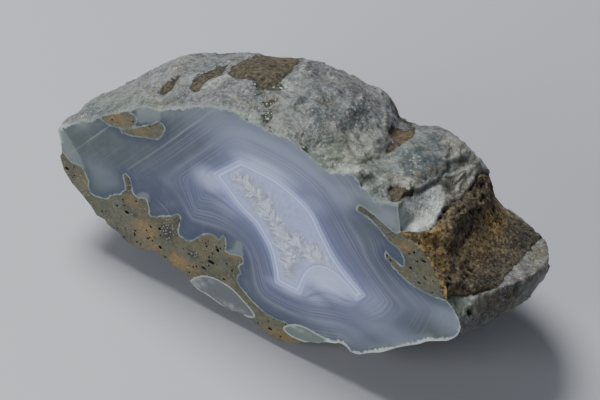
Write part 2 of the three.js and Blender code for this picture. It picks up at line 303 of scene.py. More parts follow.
# Soft zones of the rough skin, in the photograph's pixels: centre, half sizes and strength
SKIN_ZONES = {
    "mottled": [
        (313, 70, 26, 13, 1), (350, 92, 34, 20, 1), (340, 120, 26, 12, 0.8), (232, 87, 26, 9, 0.7),
        (437, 136, 18, 10, 1), (183, 62, 14, 8, 0.8), (376, 112, 18, 16, 0.9), (165, 75, 22, 10, 0.5),
        (300, 105, 18, 10, 0.5),
    ],
    "glassy": [
        (112, 110, 44, 14, 1), (150, 100, 30, 10, 0.5), (418, 158, 34, 24, 1), (440, 190, 18, 12, 0.5),
    ],
    "pale_glass": [
        (403, 222, 7, 16, 1), (394, 204, 10, 6, 0.9), (462, 300, 16, 7, 0.7), (384, 186, 14, 5, 0.4),
    ],
    "warm": [
        (500, 302, 46, 18, 1), (542, 262, 18, 30, 1), (470, 150, 18, 12, 0.6), (470, 185, 22, 20, 0.5),
    ],
    # Painted shade on the basalt end that faces away from the light
    "painted_shade_and_dark_patches": [
        (530, 238, 26, 32, 1), (505, 262, 30, 18, 0.8), (495, 280, 48, 14, 0.9), (466, 208, 18, 26, 0.2),
        (484, 190, 10, 14, 0.7),
    ],
    "stained": [
        (345, 146, 7, 13, 0.8), (327, 99, 11, 4, 0.9), (361, 98, 4, 4, 1), (205, 82, 16, 6, 0.6),
        (272, 100, 9, 12, 0.6), (398, 192, 13, 7, 0.8), (384, 165, 10, 10, 0.5), (170, 84, 9, 8, 0.6),
        (468, 150, 14, 6, 0.5), (300, 128, 16, 6, 0.3),
    ],
    "greenish": [
        (342, 155, 46, 26, 1), (120, 106, 44, 16, 0.8), (408, 150, 24, 18, 0.5), (462, 303, 18, 8, 0.8),
        (250, 125, 30, 14, 0.5), (370, 180, 30, 12, 0.6), (175, 112, 30, 8, 0.4),
    ],
    "whitish": [
        (399, 184, 22, 9, 1), (465, 148, 20, 11, 0.9), (285, 84, 10, 7, 0.9), (455, 178, 16, 14, 0.5),
        (435, 190, 12, 10, 0.5), (184, 66, 14, 8, 0.5), (360, 97, 5, 4, 1), (420, 214, 16, 16, 0.6),
    ],
    "faceted": [
        (462, 184, 26, 26, 1), (466, 148, 20, 12, 1), (418, 214, 20, 20, 0.5), (400, 184, 20, 9, 0.8),
        (255, 70, 12, 8, 0.3), (180, 64, 14, 8, 0.4),
    ],
    "drusy": [
        (275, 85, 9, 6, 1), (269, 103, 6, 6, 1), (269, 116, 7, 6, 1), (247, 120, 4, 3, 1),
        (269, 131, 4, 3, 1), (306, 147, 4, 3, 1), (256, 88, 4, 4, 1),
    ],
    "golden": [
        (433, 248, 17, 38, 1), (494, 222, 12, 18, 0.75), (480, 245, 20, 16, 0.3), (405, 137, 12, 12, 1),
        (404, 192, 8, 5, 0.7), (360, 98, 3, 3, 1), (470, 300, 3, 2, 1), (345, 148, 5, 12, 0.35),
    ],
}

# Where the photograph doesn't show the skin: the size and shift of a patch's noise, and its values at the
# patch's edge and in its middle
UNSEEN_PATCHES = {
    "mottled": (17, 3.9, 0.05, 0.3),
    "greenish": (21, 8.4, 0, 0.35),
    "warm": (16, 0.9, 0, 0.4),
    "painted_shade_and_dark_patches": (13, 2.6, 0, 0.3),
    "glassy": (19, 4.6, 0.05, 0.35),
    "stained": (9, 9.9, 0.15, 0.4),
    "faceted": (15, 6.7, 0.12, 0.3),
    "golden": (12, 5.5, 0.1, 0.4),
}

# The hole in the ledge, as a zone in the photograph's pixels
LEDGE_HOLE = [(470.5, 313, 3.4, 4.8, 1)]


def colour(red, green, blue):
    """A colour given as in a photo editor, as the linear colour of a shader."""
    linear = [c / 3294.6 if c < 11 else ((c / 255 + 0.055) / 1.055) ** 2.4 for c in (red, green, blue)]
    return (*linear, 1)


def smooth_outline(points, step=0.6):
    """A closed smooth line through the points, with a corner wherever a point is given twice running."""
    count = len(points)
    line = []
    for i in range(count):
        before, start, end, after = (np.array(points[(i + k) % count], float) for k in (-1, 0, 1, 2))
        length = np.linalg.norm(end - start)
        if length == 0:
            continue
        lean_in = (end - before) / 2 if (before != start).any() else end - start
        lean_out = (after - start) / 2 if (after != end).any() else end - start
        limit = length * 1.2
        lean_in = lean_in * min(1, limit / max(np.linalg.norm(lean_in), 1e-9))
        lean_out = lean_out * min(1, limit / max(np.linalg.norm(lean_out), 1e-9))
        for t in np.arange(0, 1, 1 / max(1, round(length / step))):
            line.append(
                (2 * t**3 - 3 * t**2 + 1) * start + (t**3 - 2 * t**2 + t) * lean_in
                + (3 * t**2 - 2 * t**3) * end + (t**3 - t**2) * lean_out
            )
    return np.array(line)


def inside_distance(points, line):
    """How far each point is inside a closed line, less than 0 outside it, and its place along the line.
    Beyond a corner it is measured from the lines of its sides, so that offsets keep the corner sharp."""
    ends = np.roll(line, -1, axis=0)
    sides = ends - line
    lengths = np.linalg.norm(sides, axis=1)
    starts_at = np.concatenate([[0], np.cumsum(lengths)[:-1]])
    unit = sides / lengths[:, None]
    found, along = [], []
    for block in np.array_split(points, max(1, len(points) // 3000)):
        rel = block[:, None, :] - line[None]
        run = (rel * unit[None]).sum(2)
        off = rel[..., 0] * unit[None, :, 1] - rel[..., 1] * unit[None, :, 0]
        past = run - np.clip(run, 0, lengths[None])
        gap = np.hypot(past, off)
        near = gap.argmin(1)
        rows = np.arange(len(block))
        beside = (near + np.sign(past[rows, near]).astype(int)) % len(line)
        off_beside = np.where(beside == near, 0, np.abs(off[rows, beside]))
        distance = np.maximum(np.abs(off[rows, near]), off_beside)
        low = line[None, :, 1] > block[:, None, 1]
        high = ends[None, :, 1] > block[:, None, 1]
        rise = np.where(np.abs(sides[:, 1]) < 1e-12, 1e-12, sides[:, 1])
        cross_at = line[:, 0] + (block[:, None, 1] - line[None, :, 1]) / rise * sides[:, 0]
        odd = ((low != high) & (cross_at > block[:, None, 0])).sum(1) % 2 == 1
        found.append(np.where(odd, distance, -distance))
        along.append(starts_at[near] + np.clip(run[rows, near], 0, lengths[near]))
    return np.concatenate(found), np.concatenate(along)


def inside_any(points, outlines):
    """How far each point is inside the nearest of several outlines."""
    return np.max([inside_distance(points, smooth_outline(o))[0] for o in outlines], axis=0)


def sides_of(line):
    """The start and end of each side of an open line."""
    places = np.array(line, float)
    return zip(places[:-1], places[1:])


def line_distance(points, lines):
    """The distance from each point to the nearest of several open lines."""
    best = np.full(len(points), np.inf)
    for line in lines:
        for start, end in sides_of(line):
            t = np.clip((points - start) @ (end - start) / ((end - start) @ (end - start)), 0, 1)
            best = np.minimum(best, np.linalg.norm(points - start - t[:, None] * (end - start), axis=1))
    return best


def zone(points, blobs):
    """A soft weight, from 0 to 1, that is highest at the centres of the blobs."""
    weight = np.zeros(len(points))
    for x, y, wide, high, strength in blobs:
        r = np.hypot((points[:, 0] - x) / wide, (points[:, 1] - y) / high)
        weight = np.maximum(weight, strength * np.clip(1.35 - r, 0, 1) ** 1.3)
    return np.clip(weight, 0, 1)


def bumps(points, size, shift=0):
    """Smooth noise from -1 to 1 with features of the given size, in the points' own unit."""
    return np.array([noise.noise(Vector(p)) for p in points / size + shift])


def cells(points, size, shift=0):
    """The distance to the centre of the nearest cell, from 0 to about 1."""
    return np.array([noise.voronoi(Vector(p))[0][0] for p in points / size + shift])


def tilted_facets(points, size):
    """Flat broken planes, one for each cell, that tilt each their own way."""
    heights = []
    for p in points / size:
        centre = noise.voronoi(Vector(p))[1][0]
        tilt = noise.noise_vector(centre * 7.7)
        heights.append((Vector(p) - centre).dot(tilt) * size * FACET_SLOPE)
    return np.clip(heights, *FACET_LIMITS)


def smoothstep(x, low, high):
    t = np.clip((x - low) / (high - low), 0, 1)
    return t * t * (3 - 2 * t)


def subdivide(points, triangles):
    """One step of Loop's subdivision. The open edge stays as it is, with points added halfway."""
    count = len(points)
    ends = np.sort(triangles[:, [[0, 1], [1, 2], [2, 0]]].reshape(-1, 2), 1)
    apex = triangles[:, [2, 0, 1]].ravel()
    edges, number, uses = np.unique(ends, axis=0, return_inverse=True, return_counts=True)
    number = number.ravel()
    across = np.zeros((len(edges), 3))
    np.add.at(across, number, points[apex])
    middle = points[edges].mean(1)
    inner = uses == 2
    middle[inner] = 0.375 * points[edges[inner]].sum(1) + 0.125 * across[inner]
    valence = np.bincount(edges.ravel(), minlength=count)
    around = np.zeros_like(points)
    np.add.at(around, edges[:, 0], points[edges[:, 1]])
    np.add.at(around, edges[:, 1], points[edges[:, 0]])
    weight = (0.625 - (0.375 + np.cos(2 * np.pi / valence) / 4) ** 2) / valence
    moved = points * (1 - valence * weight)[:, None] + around * weight[:, None]
    open_points = np.unique(edges[~inner])
    moved[open_points] = points[open_points]
    first, second, third = (count + number.reshape(-1, 3)).T
    a, b, c = triangles.T
    new = [(a, first, third), (b, second, first), (c, third, second), (first, second, third)]
    return np.concatenate([moved, middle]), np.concatenate([np.stack(t, 1) for t in new])


def point_normals(points, triangles):
    a, b, c = points[triangles].transpose(1, 0, 2)
    face = np.cross(b - a, c - a)
    normal = np.zeros_like(points)
    for k in range(3):
        np.add.at(normal, triangles[:, k], face)
    return normal / np.maximum(np.linalg.norm(normal, axis=1), 1e-12)[:, None]


def open_loop(triangles):
    """The points of the one open edge, in order."""
    directed = triangles[:, [[0, 1], [1, 2], [2, 0]]].reshape(-1, 2)
    pairs = {(a, b) for a, b in directed.tolist()}
    follows = {a: b for a, b in pairs if (b, a) not in pairs}
    start = next(iter(follows))
    loop = [start]
    while follows[loop[-1]] != start:
        loop.append(follows[loop[-1]])
    return loop


noise.seed_set(NOISE_SEED)

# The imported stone, welded and split into its sawn face and its rough skin
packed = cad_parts["agate"].data
packed.calc_loop_triangles()
corners = np.array([v.co for v in packed.vertices], float) / MM
triangles = np.array([t.vertices for t in packed.loop_triangles])
corners, same = np.unique(np.round(corners, 4), axis=0, return_inverse=True)
triangles = same.ravel()[triangles]
outward = corners @ FACE_OUT
on_face = outward > outward.max() - 0.01
skin = triangles[~on_face[triangles].all(1)]

for _ in range(SUBDIVISIONS):
    corners, skin = subdivide(corners, skin)
used = np.unique(skin)
renumber = np.zeros(len(corners), int)
renumber[used] = np.arange(len(used))
skin_at, skin = corners[used], renumber[skin]
rim = open_loop(skin)

face_origin = np.array([skin_at[rim, 0].min() + FACE_FROM_LEFT_TIP, 0, FACE_HEIGHT])
face_origin[1] = (outward.max() - face_origin @ FACE_OUT) / FACE_OUT[1]


def on_face_place(points):
    rel = points - face_origin
    return np.stack([rel @ FACE_U, rel @ FACE_V], 1)


# Where each point of the skin shows in the photograph
camera_right = np.array([math.cos(CAMERA_AZIMUTH), math.sin(CAMERA_AZIMUTH), 0])
camera_up = np.array([
    -math.sin(CAMERA_AZIMUTH) * math.sin(CAMERA_ELEVATION),
    math.cos(CAMERA_AZIMUTH) * math.sin(CAMERA_ELEVATION),
    math.cos(CAMERA_ELEVATION),
])
towards_camera = np.cross(camera_right, camera_up)
aim_right = (FACE_ORIGIN_PIXEL[0] - PHOTO_WIDTH / 2) * CAMERA_DISTANCE / CAMERA_FOCUS
aim_up = (PHOTO_HEIGHT / 2 - FACE_ORIGIN_PIXEL[1]) * CAMERA_DISTANCE / CAMERA_FOCUS


def pixels(points):
    rel = points - face_origin
    depth = CAMERA_DISTANCE - rel @ towards_camera
    return np.stack([
        PHOTO_WIDTH / 2 + CAMERA_FOCUS * (rel @ camera_right + aim_right) / depth,
        PHOTO_HEIGHT / 2 - CAMERA_FOCUS * (rel @ camera_up + aim_up) / depth,
    ], 1)


normals = point_normals(skin_at, skin)
seen = smoothstep(normals @ towards_camera, -0.05, 0.12)
shown_at = pixels(skin_at)
wander = np.stack([bumps(skin_at, 2.6, k) + 0.6 * bumps(skin_at, 1.1, k) for k in (3.3, 8.8)], 1)
zoned_at = shown_at + ZONE_WANDER * wander

# The skin's two kinds of stone, in millimetres inside their shared edge
hidden = bumps(skin_at, 26, 7.3) + 0.4 * bumps(skin_at, 9, 2.1)
end_cap = skin_at[:, 0] - END_CAP_FROM
ragged = 0.5 * bumps(skin_at, 3.1, 1.7) + 0.3 * bumps(skin_at, 1.3, 4.2)
basalt = inside_any(shown_at, [BASALT_END]) / PIXELS_PER_MM
windows = inside_any(shown_at, WINDOWS) / PIXELS_PER_MM
shown_basalt = np.maximum(basalt, windows) + ragged
hidden_basalt = np.maximum((hidden - 0.28) * 22, (end_cap + 5 * hidden) * 0.8)
basalt_in = np.clip(np.where(seen > 0.5, shown_basalt, hidden_basalt), -4, 4)
chip_in = np.where(seen > 0.5, inside_any(shown_at, [WHITE_CHIP]) / PIXELS_PER_MM, -4)

# Patches of the skin. What the photograph doesn't show goes on in the same kinds of patches.
skin_values = {}
for name, blobs in SKIN_ZONES.items():
    skin_values[name] = zone(zoned_at, blobs)
    if name in UNSEEN_PATCHES:
        size, shift, edge, middle = UNSEEN_PATCHES[name]
        unseen = smoothstep(bumps(skin_at, size, shift), edge, middle)
        skin_values[name] = np.where(seen > 0.5, skin_values[name], unseen)
    else:
        skin_values[name] = seen * skin_values[name]
faceted, glassy, drusy, pale_glass = (skin_values[k] for k in ("faceted", "glassy", "drusy", "pale_glass"))
near_crease = line_distance(shown_at + LINE_WANDER * wander, CREASES) / PIXELS_PER_MM
near_ridge = line_distance(shown_at + LINE_WANDER * wander, RIDGES) / PIXELS_PER_MM
crease = seen * np.exp(-(near_crease / CREASE_WIDTH) ** 2)
ridge = seen * np.exp(-(near_ridge / RIDGE_WIDTH) ** 2)
ledge_hole = seen * zone(shown_at, LEDGE_HOLE)

# The skin's fine shape: sugary crystals on the rind, pits and gas bubbles in the basalt
rim_ring = on_face_place(skin_at[rim + rim[:1]])
depth_in = -((skin_at - face_origin) @ FACE_OUT)
from_rim = line_distance(on_face_place(skin_at), [rim_ring]) + depth_in
rocky = smoothstep(basalt_in, -0.5, 0.4)
chipped = smoothstep(chip_in, -0.3, 0.3)
sugar = 0.34 * bumps(skin_at, 4.2, 2.9) + 0.26 * bumps(skin_at, 1.7, 0.4)
sugar += 0.22 * (0.5 - cells(skin_at, CRYSTAL_SIZE, 6.1))
sugar += 0.45 * tilted_facets(skin_at, FACET_SIZE)
sugar *= 1 - 0.6 * np.maximum(pale_glass, 0.6 * glassy * seen)
rough = 0.55 * bumps(skin_at, 4.4, 9.2) + 0.4 * bumps(skin_at, 1.9, 3.3)
rough += 0.22 * bumps(skin_at, 1, 6.6)
pits = smoothstep(0.34 - cells(skin_at, PIT_SIZE, 2.7), 0, 0.16)
pits *= smoothstep(bumps(skin_at, 7, 1.1), -0.25, 0.15)
planed = np.where(windows > basalt, 0.4, 1) * np.where(seen > 0.5, 1, 0.8)
lift = (1 - rocky) * sugar * (1 - 0.6 * faceted)
lift += rocky * (planed * (rough - PIT_DEPTH * pits) - BASALT_SUNK)
lift += 0.7 * (1 - rocky) * faceted * tilted_facets(skin_at, SMALL_FACET_SIZE)
lift *= 1 - 0.6 * chipped
lift += RIDGE_HEIGHT * ridge - CREASE_DEPTH * crease - LEDGE_HOLE_DEPTH * ledge_hole
lift += drusy * DRUSE_HEIGHT * (0.6 - cells(skin_at, DRUSE_SIZE, 5.7))
lift -= GROOVE_DEPTH * planed * np.exp(-((basalt_in - GROOVE_AT) / GROOVE_WIDTH) ** 2)
lift = np.clip(lift, *LIFT_LIMITS) * smoothstep(depth_in, *RIM_FADE)
skin_values.update(
    basalt_in=basalt_in, crease=crease, ridge=ridge, ledge_hole=ledge_hole,
    window=smoothstep(windows - basalt, -0.1, 0.1) * seen, chip=chipped, pit=pits * rocky,
    lift=lift, from_rim=np.clip(from_rim, 0, FAR),
)
skin_at = skin_at + normals * lift[:, None]
skin_at[:, 2] = np.maximum(skin_at[:, 2], 0)
skin_at = np.clip(skin_at, np.array(cad_low) / MM, np.array(cad_high) / MM)

# The sawn face: the rim, the edges of the opened bubbles and an even spread of points between them
rim_place = on_face_place(skin_at[rim])
low, high = rim_place.min(0), rim_place.max(0)
row_height = FACE_GRAIN * math.sqrt(3) / 2
grid = np.array([
    (low[0] + FACE_GRAIN * (i + (j % 2) / 2), low[1] + row_height * j)
    for j in range(int((high[1] - low[1]) / row_height) + 1)
    for i in range(int((high[0] - low[0]) / FACE_GRAIN) + 1)
])
grid = grid[inside_distance(grid, rim_place)[0] > FACE_GRAIN * 0.45]
angles = np.arange(0, 2 * math.pi, math.pi / 5)
rings = [(0, 0)] + [(r * math.cos(a), r * math.sin(a)) for r in (0.5, 0.9, 1.25) for a in angles]


def from_bubble(points, bubble):
    """The distance from each point to an opened bubble's middle, where 1 is its edge."""
    u, v, wide, tall = bubble
    return np.hypot((points[:, 0] - u) / wide, (points[:, 1] - v) / tall)


for bubble in BUBBLES:
    u, v, wide, tall = bubble
    edges = [(u + wide * x, v + tall * y) for x, y in rings]
    grid = np.concatenate([grid[from_bubble(grid, bubble) > 1.5], edges])
flat = np.concatenate([rim_place, grid])
made = delaunay_2d_cdt([Vector(p) for p in flat], [], [list(range(len(rim)))], 1, 1e-6)
sources = [origin[0] for origin in made[3]]
face_triangles = np.array([[sources[k] for k in f] for f in made[2]])
flat_a, flat_b, flat_c = flat[face_triangles].transpose(1, 0, 2)
turned = np.cross(flat_b - flat_a, flat_c - flat_a) < 0
face_triangles[turned] = face_triangles[turned][:, ::-1]

hollow = np.zeros(len(grid))
for bubble in BUBBLES:
    tall = bubble[3]
    hollow = np.maximum(hollow, 0.9 * tall * smoothstep(1.15 - from_bubble(grid, bubble), 0, 0.5))
in_space = face_origin + grid[:, :1] * FACE_U + grid[:, 1:] * FACE_V
broken = smoothstep(inside_any(grid, [ROUGH_STRIP]), 0, 0.6)
broken *= smoothstep(inside_distance(grid, rim_place)[0], 0, 1)
strip_pits = smoothstep(0.35 - cells(in_space, 1.5, 7.1), 0, 0.2)
hollow += broken * (0.45 + 0.5 * bumps(in_space, 1.7, 2.2) + 0.4 * strip_pits)
inner_points = in_space - np.maximum(hollow, 0)[:, None] * FACE_OUT
face_number = np.concatenate([np.array(rim), len(skin_at) + np.arange(len(grid))])
stone_points = np.concatenate([skin_at, inner_points])
stone_triangles = np.concatenate([skin, face_number[face_triangles]])


def spine_place(points):
    """The distance from each point to the quartz's spine, and the place along it, shifted by its side."""
    best, along, run = np.full(len(points), np.inf), np.zeros(len(points)), 0
    for line in QUARTZ_SPINE:
        for start, end in sides_of(line):
            side = end - start
            t = np.clip((points - start) @ side / (side @ side), 0, 1)
            rel = points - start - t[:, None] * side
            gap = np.linalg.norm(rel, axis=1)
            hand = np.sign(rel[:, 0] * side[1] - rel[:, 1] * side[0])
            place = run + t * np.linalg.norm(side) + 40 * hand
            along = np.where(gap < best, place, along)
            best = np.minimum(best, gap)
            run += np.linalg.norm(side)
    return best, along


# What the polished face shows
quartz_in, quartz_along = inside_distance(flat, smooth_outline(QUARTZ))
outside = [-quartz_in] + [-inside_distance(flat, smooth_outline(g))[0] for g in BAND_GUIDES]
band = np.minimum(outside[0], 0)
for i in range(len(outside) - 1):
    between = (outside[i] > 0) & (outside[i + 1] <= 0)
    band[between] = i + (outside[i] / (outside[i] - outside[i + 1] + 1e-9))[between]
beyond = outside[-1] > 0
band[beyond] = len(BAND_GUIDES) + outside[-1][beyond] / BAND_STEP
spine_gap, spine_along = spine_place(flat)
opened = np.max([1 - from_bubble(flat, bubble) / 2 for bubble in BUBBLES], axis=0)

# Values at the stone's points that the two materials read
face_values = dict(
    band=band, quartz_in=quartz_in, quartz_along=quartz_along, spine=spine_gap, spine_along=spine_along,
    bubble=np.maximum(opened, 0), rim_in=np.clip(inside_distance(flat, rim_place)[0], 0, FAR),
    straight=smoothstep(-flat[:, 0], 8, 16),
)
for name, outlines in FACE_OUTLINES.items():
    face_values[name] = np.clip(inside_any(flat, outlines), -FAR, FAR)
for name, blobs in FACE_ZONES.items():
    face_values[name] = zone(flat, blobs)
values = {name: np.concatenate([value, np.zeros(len(grid))]) for name, value in skin_values.items()}
for name, value in face_values.items():
    values[name] = np.zeros(len(stone_points))
    values[name][face_number] = value

mesh = bpy.data.meshes.new("agate_stone")
mesh.from_pydata((stone_points * MM).tolist(), [], stone_triangles.tolist())
for name, value in values.items():
    mesh.attributes.new(name, "FLOAT", "POINT").data.foreach_set("value", value.astype(np.float32))
kinds = np.zeros(len(stone_triangles), int)
kinds[len(skin):] = 1
mesh.polygons.foreach_set("material_index", kinds)
mesh.polygons.foreach_set("use_smooth", np.ones(len(stone_triangles), bool))
rim_set = set(rim)
for edge in mesh.edges:
    if edge.vertices[0] in rim_set and edge.vertices[1] in rim_set:
        edge.use_edge_sharp = True
mesh.update()


def add_object(name, data):
    added = bpy.data.objects.new(name, data)
    bpy.context.scene.collection.objects.link(added)
    return added


class Graph:
    """The nodes of one material. Each method adds a node and gives back its output."""

    def __init__(self, name):
        self.material = bpy.data.materials.new(name)
        self.material.use_nodes = True
        self.nodes = self.material.node_tree.nodes
        self.links = self.material.node_tree.links
        self.nodes.clear()
        self.surface = self.nodes.new("ShaderNodeBsdfPrincipled")
        output = self.nodes.new("ShaderNodeOutputMaterial")
        self.links.new(self.surface.outputs["BSDF"], output.inputs["Surface"])
        metres = self.node("TexCoord", "Object", {})
        self.place = self.node("VectorMath", 0, {0: metres, "Scale": 1 / MM}, operation="SCALE")

    def put(self, socket, value):
        if isinstance(value, bpy.types.NodeSocket):
            self.links.new(value, socket)
        else:
            socket.default_value = value

    def node(self, kind, output, inputs, **settings):
        node = self.nodes.new("ShaderNode" + kind)
        for name, value in settings.items():
            setattr(node, name, value)
        for name, value in inputs.items():
            self.put(node.inputs[name], value)
        return node.outputs[output]

    def read(self, name):
        return self.node("Attribute", "Fac", {}, attribute_name=name)

    def math(self, operation, *values):
        return self.node("Math", 0, dict(enumerate(values)), operation=operation)

    def times(self, a, b):
        return self.math("MULTIPLY", a, b)

    def plus(self, a, b):
        return self.math("ADD", a, b)

    def less(self, a, b):
        return self.math("SUBTRACT", a, b)

    def larger(self, a, b):
        return self.math("MAXIMUM", a, b)

    def step(self, value, low, high, most=1):
        """0 below low, most above high and smooth between them. Low above high turns it round."""
        limits = {"From Min": min(low, high), "From Max": max(low, high)}
        limits |= {"To Min": 0, "To Max": most} if low < high else {"To Min": most, "To Max": 0}
        return self.node("MapRange", "Result", {"Value": value, **limits}, interpolation_type="SMOOTHSTEP")

    def line(self, value, edge, core, most=1):
        """Most where the value is within core of 0, and 0 where it is further than edge."""
        return self.step(self.math("ABSOLUTE", value), edge, core, most)

    def mix(self, share, *paints):
        """Of two paints, each a socket or red, green and blue, the second's share over the first."""
        under, over = (colour(*p) if isinstance(p, tuple) else p for p in paints)
        return self.node("Mix", 2, {0: share, 6: under, 7: over}, data_type="RGBA")

    def ramp(self, value, stops):
        """A colour for each value: stops are (value, colour), in order."""
        low, high = stops[0][0], stops[-1][0]
        node = self.nodes.new("ShaderNodeValToRGB")
        elements = node.color_ramp.elements
        while len(elements) < len(stops):
            elements.new(0.5)
        for element, (at, shade) in zip(elements, stops):
            element.position = (at - low) / (high - low)
            element.color = shade
        self.put(node.inputs[0], self.math("DIVIDE", self.less(value, low), high - low))
        return node.outputs[0]

    def noise(self, size, detail=2, roughness=0.5, place=None, distortion=0):
        inputs = {"Vector": place or self.place, "Scale": 1 / size, "Detail": detail}
        return self.node("TexNoise", 0, {**inputs, "Roughness": roughness, "Distortion": distortion})

    def wobble(self, amount, size, detail=2, roughness=0.5):
        """Noise around 0, of about this amount."""
        return self.times(self.less(self.noise(size, detail, roughness), 0.5), amount)

    def line_noise(self, value, size, detail=1, roughness=0.5):
        inputs = {"W": value, "Scale": 1 / size, "Detail": detail, "Roughness": roughness}
        return self.node("TexNoise", 0, inputs, noise_dimensions="1D")

    def cells(self, size):
        return self.node("TexVoronoi", "Distance", {"Vector": self.place, "Scale": 1 / size})

    def vector(self, x, y):
        return self.node("CombineXYZ", 0, {"X": x, "Y": y})

    def bump(self, height, distance, strength):
        return self.node("Bump", 0, {"Height": height, "Distance": distance, "Strength": strength})


class Coats:
    """A colour that is built up in coats. Each covers its share of what lies under it."""

    def __init__(self, graph, base):
        self.graph = graph
        self.top = base

    def coat(self, share, *paint):
        """The paint is a socket, or red, green and blue."""
        self.top = self.graph.mix(share, self.top, paint[0] if len(paint) == 1 else paint)


def polished_face():
    g = Graph("polished_agate")
    read, step, times, plus, less = g.read, g.step, g.times, g.plus, g.less

    # Chalcedony: tones that change from band to band, with fine lines
    faint = read("faint")
    band = plus(read("band"), g.wobble(0.1, 11))
    shade = Coats(g, g.ramp(band, [
        (0, colour(182, 197, 246)), (0.2, colour(163, 176, 223)), (0.5, colour(130, 140, 180)),
        (1, colour(108, 116, 148)), (1.7, colour(103, 110, 137)), (2.4, colour(103, 110, 131)),
        (3.2, colour(90, 98, 114)), (4.2, colour(84, 92, 101)), (6, colour(82, 92, 92)),
        (9, colour(91, 102, 100)),
    ]))
    shade.coat(times(read("glow"), 0.92), 213, 225, 255)
    shade.coat(times(read("blue"), 0.6), 60, 73, 104)
    levels = [(0, 0.45), (0.3, 0.4), (0.6, 1), (1.4, 0.8), (2.4, 0.85), (3.2, 0.7), (4.2, 0.55), (5, 0.16)]
    strength = g.ramp(band, [(at, (level, level, level, 1)) for at, level in levels])
    strength = times(strength, less(1, times(faint, 0.85)))
    strength = times(strength, plus(0.45, step(g.noise(13, 1), 0.35, 0.6, 0.75)))
    broad = g.line_noise(band, 0.5)
    fine = g.line_noise(band, 0.14, 2, 0.55)
    shade.coat(times(step(broad, 0.48, 0.66, 0.3), strength), 88, 84, 116)
    shade.coat(times(step(broad, 0.46, 0.34, 0.3), strength), 150, 155, 172)
    shade.coat(times(step(fine, 0.53, 0.68, 0.24), strength), 164, 170, 196)
    shade.coat(times(step(fine, 0.47, 0.34, 0.32), strength), 64, 68, 92)
    for at, width, amount in BRIGHT_BANDS:
        line = g.line(less(band, at), width, width * 0.3)
        line = times(line, less(1, faint))
        shade.coat(times(line, times(read("straight"), amount)), 176, 184, 192)
    veil = step(g.noise(6, 4, 0.6), 0.45, 0.7)
    shade.coat(times(veil, 0.06), 150, 155, 165)
    milky = times(read("straight"), step(g.noise(3, 3), 0.45, 0.65, 0.07))
    shade.coat(milky, 128, 140, 138)

    # Blue depths in the hollows of the basalt, and pale edges of the stone
    matrix = read("matrix_in")
    ragged = plus(matrix, g.wobble(1.1, 1.1, 4, 0.65))
    hollow = times(step(matrix, -3.4, -0.3, 0.6), step(band, 2.6, 3.2))
    shade.coat(hollow, 52, 66, 92)
    rim = read("rim_in")
    shade.coat(times(step(rim, 3.4, 0.4), step(g.noise(5), 0.35, 0.65, 0.6)), 136, 148, 146)
    pale_edge = read("pale_edge")
    glassy = g.mix(step(g.noise(4, 3), 0.42, 0.58), (124, 136, 130), (142, 148, 158))
    shade.coat(times(pale_edge, 0.8), glassy)
    chipped_rim = read("chipped_rim")
    chips = less(plus(rim, g.wobble(3.4, 1.3, 4, 0.75)), times(chipped_rim, 0.6))
    chipping = times(plus(0.3, times(chipped_rim, 0.6)), less(1, pale_edge))
    shade.coat(times(step(chips, 0.42, 0.1), chipping), 212, 218, 214)

    # The quartz: a bright outline, then fibres that grew inwards and meet along a line
    depth, spine = read("quartz_in"), read("spine")
    bend = g.wobble(3.2, 1.8, 4, 0.6)
    slant = plus(plus(read("spine_along"), times(spine, 0.6)), bend)
    feather = g.noise(1, 4, 0.65, g.vector(times(slant, 2), times(spine, 0.25)))
    tangle = plus(times(feather, 0.8), times(g.noise(1.6, 4, 0.75, distortion=0.6), 0.2))
    lengthwise = plus(read("quartz_along"), bend)
    outer = g.noise(1, 3, 0.6, g.vector(times(lengthwise, 2), times(depth, 0.4)))
    reach = plus(spine, g.wobble(7, 3, 3))
    quartz = Coats(g, g.mix(step(reach, 5.5, 1), (176, 189, 228), (166, 168, 186)))
    quartz.coat(step(outer, 0.5, 0.6, 0.25), 214, 224, 255)
    quartz.coat(step(outer, 0.5, 0.4, 0.22), 146, 152, 180)
    quartz.coat(times(step(tangle, 0.48, 0.4, 0.2), step(reach, 6, 2)), 134, 134, 152)
    plumes = step(plus(tangle, step(reach, 4, 0, 0.07)), 0.53, 0.6)
    quartz.coat(times(plumes, step(reach, 6, 1.6, 0.8)), 230, 238, 255)
    quartz.coat(step(depth, 2.8, 0.5, 0.5), 190, 206, 255)
    dark_line = g.line(less(depth, 0.8), 0.2, 0.06)
    outline = g.line(less(depth, 0.2), 0.34, 0.06)
    quartz.coat(times(dark_line, 0.3), 126, 132, 160)
    quartz.coat(times(outline, 0.95), 218, 230, 255)
    shade.coat(step(depth, -0.15, 0.15), quartz.top)
    halo = g.line(plus(depth, 0.75), 0.3, 0.08)
    shade.coat(times(halo, 0.5), 204, 216, 255)

